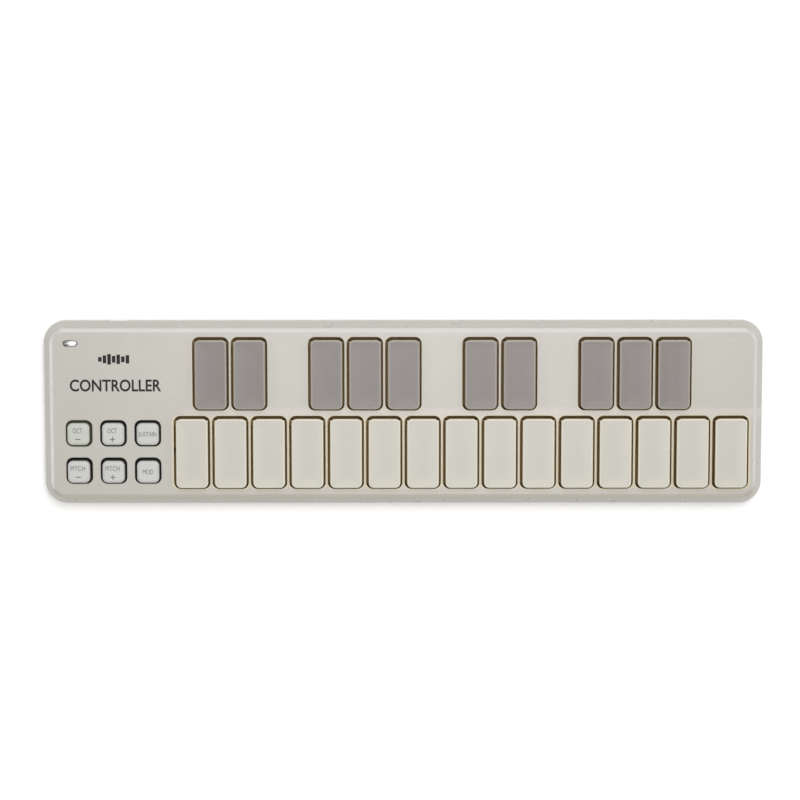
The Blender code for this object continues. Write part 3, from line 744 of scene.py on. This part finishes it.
CASE = box_mm("top_cover")
CASE_HALF_X, CASE_HALF_Y = CASE[1].x, CASE[1].y
PANEL_TOP = CASE[1].z
NODES = list(frame["nodes"])
BODIES = list(frame["bodies"])
WHITE_KEYS = sorted(name for name in BODIES if name.startswith("white_key"))
BLACK_KEYS = sorted(name for name in BODIES if name.startswith("black_key"))
BUTTONS = [name for name in BODIES if name.endswith("_button")]
CASE_SCREWS = sorted(name for name in NODES if name.startswith("case_screw"))
BOARD_SCREWS = sorted(name for name in NODES if name.startswith("board_screw"))
FEET = [name for name in NODES if name.endswith("_foot")]
KEY_TOP = box_mm(WHITE_KEYS[0])[1].z
KEY_PITCH = middle(WHITE_KEYS[1]).x - middle(WHITE_KEYS[0]).x
BUTTON_TOP = box_mm(BUTTONS[0])[1].z
BUTTON_FLANGE_HALF = half_size(BUTTONS[0]).x
BUTTON_HALF = BUTTON_FLANGE_HALF - BUTTON_FLANGE_REACH


def case_ring(inset):
    half_x, half_y = CASE_HALF_X - inset, CASE_HALF_Y - inset
    return outline(half_x, half_y, CASE_CORNER - inset, steps=16)


def profile_rings(profile):
    return [(case_ring(point.x), point.y) for point in rounded_path(profile)]


def key_cap(name):
    """(centre, half width, half length) of a key's cap, seen from above."""
    low, high = box_mm(name)
    front = low.y + LIP_REACH
    centre = ((low.x + high.x) / 2, (front + high.y) / 2)
    return centre, (high.x - low.x) / 2 - PIN_REACH, (high.y - front) / 2


def well_shape(name):
    """(centre, half width, half length) of the well round a key."""
    (x, y), half_x, half_y = key_cap(name)
    centre = (x, y + (WELL_REAR - WELL_FRONT) / 2)
    return centre, half_x + WELL_SIDE, half_y + (WELL_REAR + WELL_FRONT) / 2


def ridge_y():
    """The middle of the strip of panel between the two rows of wells."""
    white, _, white_half = well_shape(WHITE_KEYS[0])
    black, _, black_half = well_shape(BLACK_KEYS[0])
    return (white[1] + white_half + black[1] - black_half) / 2


KEYS_LEFT = well_shape(WHITE_KEYS[0])[0][0] - well_shape(WHITE_KEYS[0])[1] - 1.0
RIDGE_Y = ridge_y()


def screw_places(names):
    return [middle(name).xy for name in names]


def lens_outline(grown_by, centre=(0.0, 0.0)):
    half = half_size("power_light_lens")
    half_x, half_y = half.x - LENS_COLLAR + grown_by, half.y - LENS_COLLAR + grown_by
    return outline(half_x, half_y, half_y, centre=centre)


def usb_opening():
    low, high = box_mm("usb_socket_shell")
    notch = bmesh.new()
    x = (low.x - PARTING_GAP, high.x + PARTING_GAP)
    y = (CASE_HALF_Y - USB_OPENING_DEPTH, CASE_HALF_Y + 2)
    add_box(notch, x, y, (low.z - PARTING_GAP, high.z + PARTING_GAP))
    return notch


# ---- covers ---------------------------------------------------------------------------------------


def build_top_cover(material, wall_material):
    sections = [(case_ring(inset), z) for inset, z in TOP_INSIDE]
    shell = lofted(sections + profile_rings(TOP_PROFILE))
    bosses = bmesh.new()
    pilots = bmesh.new()
    for place in screw_places(CASE_SCREWS):
        add_cylinder(bosses, BOSS_RADIUS, BOSS_BOTTOM, PANEL_UNDERSIDE + 0.4, place)
        add_cylinder(pilots, PILOT_RADIUS, BOSS_BOTTOM - 1, CASE_PILOT_TOP, place)
    shell = cut(joined(shell, bosses), pilots)

    holes = bmesh.new()
    through = (PANEL_UNDERSIDE - 1, PANEL_TOP + 1)
    for name in WHITE_KEYS + BLACK_KEYS:
        centre, half_x, half_y = well_shape(name)
        add_prism(holes, outline(half_x, half_y, WELL_CORNER, centre=centre), *through)
    half = BUTTON_HALF + BUTTON_CLEARANCE
    for name in BUTTONS:
        x, y, _ = middle(name)
        add_prism(holes, outline(half, half, BUTTON_HOLE_CORNER, centre=(x, y)), *through)
    add_prism(holes, lens_outline(LENS_CLEARANCE, middle("power_light_lens").xy), *through)
    shell = cut(cut(shell, holes), usb_opening())
    round_rims(shell, PANEL_TOP, WELL_EDGE)
    mesh = mesh_of(shell, "case_top")
    as_piece("case_top", mesh, material, "case", replaces=["top_cover"])
    mesh.materials.append(wall_material)
    reach_x, reach_y = [(half - PANEL_EDGE_INSET) * MM for half in (CASE_HALF_X, CASE_HALF_Y)]
    for face in mesh.polygons:
        inside = abs(face.center.x) < reach_x and abs(face.center.y) < reach_y
        face.material_index = int(inside and abs(face.normal.z) < UPRIGHT)


def foot_radius():
    """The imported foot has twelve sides, with the middle of two of them facing along X."""
    return half_size(FEET[0]).x / cos(pi / 12)


def build_bottom_cover(material):
    inside = [(case_ring(inset), z) for inset, z in BOTTOM_INSIDE]
    shell = lofted(profile_rings(BOTTOM_PROFILE) + inside)
    seats = bmesh.new()
    for place in screw_places(CASE_SCREWS + BOARD_SCREWS):
        add_cylinder(seats, SEAT_RADIUS, FLOOR_TOP - 0.4, SEAT_TOP, place)
    shell = joined(shell, seats)

    holes = bmesh.new()
    for place in screw_places(CASE_SCREWS):
        add_cylinder(holes, COUNTERBORE_RADIUS, 0.0, COUNTERBORE_TOP, place, sides=32)
    for name in FEET:
        radius = foot_radius() + FOOT_RECESS_CLEARANCE
        add_cylinder(holes, radius, 0.0, FOOT_RECESS_TOP, middle(name).xy, FOOT_SIDES)
    add_prism(holes, outline(*LABEL_HALF, 2.0), 0.0, box_mm("bottom_cover")[0].z + LABEL_DEPTH)
    shell = cut(cut(shell, holes), usb_opening())
    round_rims(shell, box_mm("bottom_cover")[0].z, 0.15)
    bores = bmesh.new()
    for place in screw_places(CASE_SCREWS):
        add_cylinder(bores, BORE_RADIUS, 0.0, SEAT_TOP + 1, place, sides=20)
    mesh = mesh_of(cut(shell, bores), "case_base")
    as_piece("case_base", mesh, material, "case", replaces=["bottom_cover"])


def build_feet(material):
    """Each foot has a shallow dish in its tread and a rounded edge."""
    radius = foot_radius()
    dish = ((3.2, 0.12), (3.5, 0.0))
    edge = ((radius - 0.5, 0.0), (radius - 0.12, 0.15), (radius, 0.5), (radius, box_mm(FEET[0])[1].z))
    mesh = mesh_of(lofted([(circle(r, FOOT_SIDES), z) for r, z in dish + edge]), "foot_pad")
    for name in FEET:
        x, y, _ = middle(name)
        as_piece(f"{name}_pad", mesh, material, "case", (x, y, 0), [name])


def screw_mesh(length, name):
    """A pan-head screw with a cross recess and a thread, its head below z 0."""
    face = -SCREW_HEAD_HEIGHT
    head = ((1.15, face), (1.55, face + 0.05), (1.9, face + 0.25), (2.08, face + 0.6), (2.08, 0.0))
    screw = lofted([(circle(radius, 32), z) for radius, z in head])
    recess = bmesh.new()
    for turn in (0, 1):
        arms = [(-1.15, -0.22), (1.15, -0.22), (1.15, 0.22), (-1.15, 0.22)]
        if turn:
            arms = [(-y, x) for x, y in arms]
        small = [(x * 0.45, y * 0.6) for x, y in arms]
        add_loft(recess, ((arms, face - 0.3), (arms, face), (small, face + 0.75)))
    recess = joined(recess, lofted([(circle(0.5, 12), face - 0.3), (circle(0.2, 12), face + 0.8)]))
    screw = cut(screw, recess)
    pitch = 0.8
    rings = []
    z = -0.2
    while z < length - 0.9:
        rings += [(circle(SHANK_RADIUS - 0.22, 16), z), (circle(SHANK_RADIUS, 16), z + pitch / 2)]
        z += pitch
    rings.append((circle(0.3, 16), length))
    return mesh_of(joined(screw, lofted(rings)), name)


def build_screws(material):
    for names, turned in ((CASE_SCREWS, False), (BOARD_SCREWS, True)):
        low, high = box_mm(names[0])
        mesh = screw_mesh(high.z - low.z - SCREW_HEAD_HEIGHT, names[0].removesuffix("_1"))
        if turned:
            mesh.transform(Matrix.Rotation(pi, 4, "X"))
        height = high.z - SCREW_HEAD_HEIGHT if turned else low.z + SCREW_HEAD_HEIGHT
        for name in names:
            x, y, _ = middle(name)
            origin = (x, y, height)
            as_piece(f"{name}_fine", mesh, material, "case", origin, [name])


# ---- keys and buttons -----------------------------------------------------------------------------


def key_mesh(name, half_x, half_y):
    """One hollow key with its limbs, drawn from the middle of its hinge line."""
    centre = (0.0, HINGE_FROM_CAP_REAR - half_y)
    rear, front = HINGE_FROM_CAP_REAR, HINGE_FROM_CAP_REAR - 2 * half_y
    roof = CAP_ROOF_UNDERSIDE - HINGE_Z

    def ring(inset, z):
        corner = max(CAP_CORNER - inset, 0.5)
        return outline(half_x - inset, half_y - inset, corner, centre=centre), z - HINGE_Z

    side = (
        ((0.0, CAP_BOTTOM), 0.0),
        ((0.0, KEY_TOP), KEY_EDGE_RADIUS),
        ((3.0, KEY_TOP - DISH_DEPTH * 0.6), 0.0),
    )
    sections = [ring(point.x, point.y) for point in rounded_path(side)]
    sections.append(ring(5.0, KEY_TOP - DISH_DEPTH))
    key = lofted(sections)

    hollow = bmesh.new()
    hollow_x = half_x - CAP_WALL
    hollow_y = (front + CAP_WALL, rear - CAP_WALL)
    add_box(hollow, (-hollow_x, hollow_x), hollow_y, (CAP_BOTTOM - 1 - HINGE_Z, roof))
    key = cut(key, hollow)

    limbs = bmesh.new()
    plunger = (0.0, -PLUNGER_FROM_HINGE)
    add_cylinder(limbs, PLUNGER_RADIUS, PLUNGER_BOTTOM - HINGE_Z, roof + 0.4, plunger)
    for side_sign in (-1, 1):
        cheek_x = sorted(side_sign * x for x in CHEEK_X)
        add_box(limbs, cheek_x, CHEEK_Y, (CHEEK_BOTTOM - HINGE_Z, roof + 0.4))
    lip_y = (front - LIP_REACH, front + CAP_WALL / 2)
    add_box(limbs, (-LIP_HALF_X, LIP_HALF_X), lip_y, [z - HINGE_Z for z in LIP_Z])
    key = joined(key, limbs)
    pins = bmesh.new()
    for side_sign in (-1, 1):
        pin_x = sorted((side_sign * (CHEEK_X[1] - 0.4), side_sign * (half_x + PIN_REACH)))
        add_bar_along_x(pins, PIN_RADIUS, pin_x)
    return mesh_of(joined(key, pins), name)


def build_keys(row, names, colours, rim_mm):
    """One row of keys, which share a mesh. The upright faces have a side material."""
    top = key_plastic(f"{row}_satin", colours, rim_mm)
    side = key_plastic(f"{row}_sides", colours, rim_mm, WALL_SPECULAR)
    _, half_x, half_y = key_cap(names[0])
    mesh = key_mesh(f"{row}_shape", half_x, half_y)
    for name in names:
        hinge_y = box_mm(name)[1].y - HINGE_FROM_CAP_REAR
        origin = (middle(name).x + KEY_PLAY_X, hinge_y, HINGE_Z)
        as_piece(f"{name}_pad", mesh, top, name, origin, [name])
    mesh.materials.append(side)
    for face in mesh.polygons:
        face.material_index = int(abs(face.normal.z) < UPRIGHT)


def button_mesh(name):
    """One push button, drawn from the middle of its top face."""
    low, high = BUTTON_FLANGE_Z

    def ring(half, corner, z):
        return outline(half, half, corner), z - BUTTON_TOP

    sections = [
        ring(BUTTON_FLANGE_HALF, BUTTON_HOLE_CORNER, low),
        ring(BUTTON_FLANGE_HALF, BUTTON_HOLE_CORNER, high - 0.1),
        ring(BUTTON_FLANGE_HALF - 0.1, BUTTON_HOLE_CORNER, high),
    ]
    side = (
        ((-BUTTON_DRAFT, high), 0.0),
        ((0.0, BUTTON_TOP), BUTTON_EDGE_RADIUS),
        ((2.5, BUTTON_TOP), 0.0),
    )
    for point in rounded_path(side, steps=8):
        sections.append(ring(BUTTON_HALF - point.x, max(BUTTON_CORNER - point.x, 0.6), point.y))
    button = lofted(sections)
    plunger = bmesh.new()
    add_cylinder(plunger, PLUNGER_RADIUS, PLUNGER_BOTTOM - BUTTON_TOP, low + 0.4 - BUTTON_TOP)
    return mesh_of(joined(button, plunger), name)


def button_place(name):
    """Each cap hangs in its hole with a little play, more of it in the front row and at the left."""
    x, y, _ = middle(name)
    columns = sorted({round(middle(button).x, 2) for button in BUTTONS})
    front_row = y < middle("octave_down_button").y - 1
    column = columns.index(round(x, 2))
    return x + BUTTON_PLAY_X * (2 - column) / 2, y + BUTTON_PLAY_Y[front_row]


def build_buttons():
    """Each button has a mesh of its own, whose flange has a material of its own."""
    plain, lit = (
        (button_plastic(f"{name}_milk", *colours), flange_painted_shade(f"{name}_flange", colours[2]))
        for name, colours in (("button", BUTTON_COLOURS), ("lit", PAINTED_GLOW_BUTTON_COLOURS))
    )
    flange_top = (BUTTON_FLANGE_Z[1] - BUTTON_TOP + 0.05) * MM
    for name in BUTTONS:
        cap, flange = lit if name == LIT_BUTTON else plain
        x, y = button_place(name)
        mesh = button_mesh(f"{name}_shape")
        as_piece(f"{name}_cap", mesh, cap, name, (x, y, BUTTON_TOP), [name])
        mesh.materials.append(flange)
        for face in mesh.polygons:
            face.material_index = int(face.center.z < flange_top)


def sign_mesh(kind):
    """A minus or a plus, as one flat outline."""
    long, short = SIGN_SIZE / 2, SIGN_STROKE / 2
    sign = bmesh.new()
    if kind == "minus":
        corners = [(long, short), (-long, short), (-long, -short), (long, -short)]
    else:
        quarter = ((long, -short), (long, short), (short, short))
        turns = [Matrix.Rotation(radians(90 * i), 2) for i in range(4)]
        corners = [turn @ Vector(point) for turn in turns for point in quarter]
    add_prism(sign, corners, 0.0, PRINT_THICKNESS)
    return mesh_of(sign, kind)


def build_legends(material):
    for name, (word, sign) in LEGENDS.items():
        x, y = button_place(name)
        text, cap_height, width, place = word
        mesh = words(text, cap_height, width)
        origin = (x + place[0], y + place[1], BUTTON_TOP)
        as_piece(f"{name}_word", mesh, material, name, origin)
        if sign:
            origin = (x + SIGN_PLACE[0], y + SIGN_PLACE[1], BUTTON_TOP)
            mesh = sign_mesh(sign)
            as_piece(f"{name}_sign", mesh, material, name, origin)


# ---- prints on the panel --------------------------------------------------------------------------


def build_panel_prints(material):
    """A row of level bars, and the instrument's kind in plain capitals."""
    x, y = BARS_PLACE
    bars = bmesh.new()
    step = BARS_WIDTH / len(BAR_HEIGHTS)
    for number, share in enumerate(BAR_HEIGHTS):
        left = -BARS_WIDTH / 2 + step * number
        height = BARS_HEIGHT * share / 2
        add_box(bars, (left, left + step * BAR_FILL), (-height, height), (0.0, PRINT_THICKNESS))
    mesh = mesh_of(bars, "level_bars")
    as_piece("level_bars_print", mesh, material, "case", (x, y, PANEL_TOP))
    title = words("CONTROLLER", TITLE_CAP_HEIGHT, TITLE_WIDTH, TITLE_OFFSET)
    origin = (*TITLE_PLACE, PANEL_TOP)
    as_piece("title_print", title, material, "case", origin)


# ---- inside ---------------------------------------------------------------------------------------


def dome_mesh(name):
    """A silicone dome open below, drawn from the middle of its foot on the sheet's top."""
    height = DOME_TOP - SHEET_Z[1]
    path = (
        ((DOME_CENTRE_RADIUS, height), 0.0),
        ((DOME_TOP_RADIUS, height), 0.4),
        ((DOME_TOP_RADIUS + 0.3, height * 0.6), 0.8),
        ((DOME_FOOT_RADIUS, 0.2), 0.4),
        ((DOME_FOOT_RADIUS + 0.4, -0.1), 0.0),
        ((DOME_FOOT_RADIUS - DOME_WALL, -0.1), 0.0),
        ((DOME_TOP_RADIUS - DOME_WALL, height - DOME_WALL), 0.0),
        ((DOME_CENTRE_RADIUS, height - DOME_WALL), 0.0),
    )
    sections = [(circle(point.x, DOME_SIDES), point.y) for point in rounded_path(path, steps=4)]
    return mesh_of(lofted(sections), name)


def plunger_place(body):
    """Where a key's or button's plunger stands over its dome."""
    x, y, _ = middle(body)
    if body in BUTTONS:
        return (x, y)
    return (x, box_mm(body)[1].y - HINGE_FROM_CAP_REAR - PLUNGER_FROM_HINGE)


def build_contact_sheets(material):
    rows = (
        ("white_key_contact_sheet", WHITE_KEYS),
        ("black_key_contact_sheet", BLACK_KEYS),
        ("button_contact_sheet", BUTTONS),
    )
    for node, bodies in rows:
        half = half_size(node)
        sheet = bmesh.new()
        add_prism(sheet, outline(half.x, half.y, SHEET_CORNER, centre=middle(node).xy), *SHEET_Z)
        holes = bmesh.new()
        for body in bodies:
            place = plunger_place(body)
            add_cylinder(holes, DOME_FOOT_RADIUS - DOME_WALL, SHEET_Z[0] - 1, SHEET_Z[1] + 1, place)
        mesh = mesh_of(cut(sheet, holes), f"{node}_base")
        as_piece(f"{node}_base", mesh, material, "case", replaces=[node])
        for body in bodies:
            place = (*plunger_place(body), SHEET_Z[1])
            mesh = dome_mesh(f"{body}_dome")
            dome = as_piece(f"{body}_dome", mesh, material, "case", place)
            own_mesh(dome)


def usb_section(inset, corner):
    """The socket's cross-section seen from behind: straight sides above, tapered ones below."""
    low, high = box_mm("usb_socket_shell")
    bottom, top = low.z + inset, high.z - inset
    wide, narrow = USB_HALF_TOP - inset, USB_HALF_BOTTOM - inset
    bend = bottom + USB_BEND_HEIGHT
    corners = [(wide, top), (-wide, top), (-wide, bend)]
    corners += [(-narrow, bottom), (narrow, bottom), (wide, bend)]
    points = [Vector(point) for point in corners]
    result = []
    for i, point in enumerate(points):
        result += arc_corner(points[i - 1], point, points[(i + 1) % len(points)], corner, 4)
    return [(point.x, point.y) for point in result]


def build_usb_socket(shell_metal, insulator, gold):
    low, high = box_mm("usb_socket_shell")
    centre_x = (low.x + high.x) / 2
    stand_up = Matrix(((1, 0, 0, centre_x), (0, 0, 1, 0), (0, 1, 0, 0), (0, 0, 0, 1)))
    outer, inner = usb_section(0.0, 0.6), usb_section(USB_METAL, 0.35)
    lip, mouth = usb_section(0.08, 0.55), usb_section(USB_METAL - 0.08, 0.4)
    sections = (
        (outer, low.y),
        (outer, high.y - 0.08),
        (lip, high.y),
        (mouth, high.y),
        (inner, high.y - 0.08),
        (inner, low.y + USB_METAL),
    )
    shell = lofted(sections)
    bmesh.ops.transform(shell, matrix=stand_up, verts=shell.verts)
    bmesh.ops.recalc_face_normals(shell, faces=shell.faces)
    mesh = mesh_of(shell, "usb_shell")
    as_piece("usb_shell", mesh, shell_metal, "case", (0, 0, 0), ["usb_socket_shell"])

    low, high = box_mm("usb_socket_tongue")
    half = half_size("usb_socket_tongue")
    tongue = bmesh.new()
    points = outline(half.x, half.z, 0.2, steps=3, centre=(0, low.z + half.z))
    add_prism(tongue, points, low.y, high.y)
    bmesh.ops.transform(tongue, matrix=stand_up, verts=tongue.verts)
    bmesh.ops.recalc_face_normals(tongue, faces=tongue.faces)
    mesh = mesh_of(tongue, "usb_tongue")
    as_piece("usb_tongue", mesh, insulator, "case", (0, 0, 0), ["usb_socket_tongue"])
    for number in range(5):
        x = centre_x + 0.8 * (number - 2)
        contact = bmesh.new()
        add_box(contact, (x - 0.2, x + 0.2), (low.y, high.y - 0.4), (low.z - 0.08, low.z + 0.1))
        mesh = mesh_of(contact, "usb_contact")
        as_piece(f"usb_contact_{number + 1}", mesh, gold, "case")


def build_power_light(material):
    bottom, top = [corner.z - PANEL_TOP for corner in box_mm("power_light_lens")]
    profile = ((0.0, bottom), (0.0, top - 0.3), (0.1, top - 0.1), (0.35, top - 0.02), (0.8, top))
    lens = lofted([(lens_outline(-inset), z) for inset, z in profile])
    collar = bmesh.new()
    collar_top = PANEL_UNDERSIDE - LENS_COLLAR_GAP - PANEL_TOP
    add_prism(collar, lens_outline(LENS_COLLAR), collar_top - LENS_COLLAR, collar_top)
    mesh = mesh_of(joined(lens, collar), "light_guide")
    origin = (*middle("power_light_lens").xy, PANEL_TOP)
    as_piece("light_guide", mesh, material, "case", origin, ["power_light_lens"])


def assign(nodes, material):
    for name in nodes:
        slots = frame["nodes"][name].data.materials
        slots.clear()
        slots.append(material)


# ---- stage, light and camera ----------------------------------------------------------------------


def build_floor():
    mesh = bpy.data.meshes.new("floor")
    shape = bmesh.new()
    bmesh.ops.create_grid(shape, x_segments=1, y_segments=1, size=3.0)
    shape.to_mesh(mesh)
    shape.free()
    floor = bpy.data.objects.new("floor", mesh)
    bpy.context.scene.collection.objects.link(floor)
    mesh.materials.append(Finish("floor_paper", (0.95, 0.95, 0.95), 0.9).material)


def add_area_light(name, place, size, power, colour=(1.0, 1.0, 1.0)):
    light = bpy.data.lights.new(name, "AREA")
    light.shape = "RECTANGLE"
    light.size, light.size_y = size
    light.energy = power
    light.color = colour
    item = bpy.data.objects.new(name, light)
    item.location = place
    item.rotation_euler = (-Vector(place)).to_track_quat("-Z", "Y").to_euler()
    item.visible_camera = False
    bpy.context.scene.collection.objects.link(item)


def build_lights():
    """A broad softbox overhead, and low strips that catch the bevel round the panel."""
    world = bpy.data.worlds.new("studio")
    world.use_nodes = True
    world.node_tree.nodes["Background"].inputs["Color"].default_value = (1.0, 1.0, 1.0, 1.0)
    world.node_tree.nodes["Background"].inputs["Strength"].default_value = 0.40
    bpy.context.scene.world = world
    add_area_light("overhead_softbox", (0.16, 0.40, 1.6), (0.7, 1.5), 20.4)
    add_area_light("left_strip", (-1.5, 0.0, 0.56), (1.6, 0.16), 3.8)
    add_area_light("right_strip", (1.4, 0.0, 0.7), (1.6, 0.5), 4.4)
    add_area_light("rear_strip", (0.0, 1.4, 0.9), (1.8, 0.45), 6.2)
    add_area_light("front_strip", (0.0, -1.5, 0.67), (1.8, 0.45), 2.75, (1.0, 0.88, 0.6))


def build_camera():
    """Straight down from a little behind the middle, turned a hair."""
    camera = bpy.data.cameras.new("camera")
    item = bpy.data.objects.new("camera", camera)
    away = Vector((0.0, sin(CAMERA_TILT), cos(CAMERA_TILT))) * CAMERA_HEIGHT
    item.location = CAMERA_AIM + away
    turn = Matrix.Rotation(-CAMERA_TILT, 3, "X") @ Matrix.Rotation(CAMERA_ROLL, 3, "Z")
    item.rotation_euler = turn.to_euler()
    camera.sensor_width = 36.0
    camera.lens = camera.sensor_width * CAMERA_HEIGHT / VIEW_WIDTH
    camera.clip_end = 20.0
    bpy.context.scene.collection.objects.link(item)
    bpy.context.scene.camera = item


def build():
    bpy.context.scene.view_settings.view_transform = "Standard"
    tin = metal("socket_tin", (0.62, 0.62, 0.62), 0.28)
    black_epoxy = moulded("chip_epoxy", (0.018, 0.018, 0.018), 0.5, spread=0.1)

    build_top_cover(case_plastic("case_grain"), case_plastic("well_walls", WALL_SPECULAR))
    build_bottom_cover(moulded("base_grain", CASE_COLOUR, 0.3, 0.5, 0.002, 0.015))
    build_keys("white_key", WHITE_KEYS, WHITE_KEY_COLOURS, WHITE_KEY_RIM)
    build_keys("black_key", BLACK_KEYS, BLACK_KEY_COLOURS, BLACK_KEY_RIM)
    build_buttons()
    build_legends(ink("legend_ink", (0.12, 0.12, 0.12)))
    build_panel_prints(ink("panel_ink", (0.016, 0.015, 0.015)))
    build_power_light(lens_plastic())
    build_usb_socket(tin, black_epoxy, metal("contact_gold", (0.83, 0.62, 0.25), 0.25))
    build_contact_sheets(silicone_rubber("sheet_silicone", (0.13, 0.13, 0.14)))
    build_screws(metal("screw_zinc", (0.55, 0.55, 0.56), 0.32))
    build_feet(silicone_rubber("foot_rubber_grain", (0.022, 0.022, 0.023)))
    # the key frame's colour is painted shade
    assign(["key_frame"], moulded("frame_grain", FRAME_PAINTED_SHADE_COLOUR, 0.5, specular=WALL_SPECULAR))
    assign(["circuit_board"], board_laminate())
    assign(["controller_chip"], black_epoxy)
    assign(["clock_crystal"], tin)
    assign(["white_key_felt", "black_key_felt"], pressed_felt())
    assign(["power_led"], moulded("led_package", (0.75, 0.75, 0.66), 0.3))
    build_floor()
    build_lights()
    build_camera()


build()
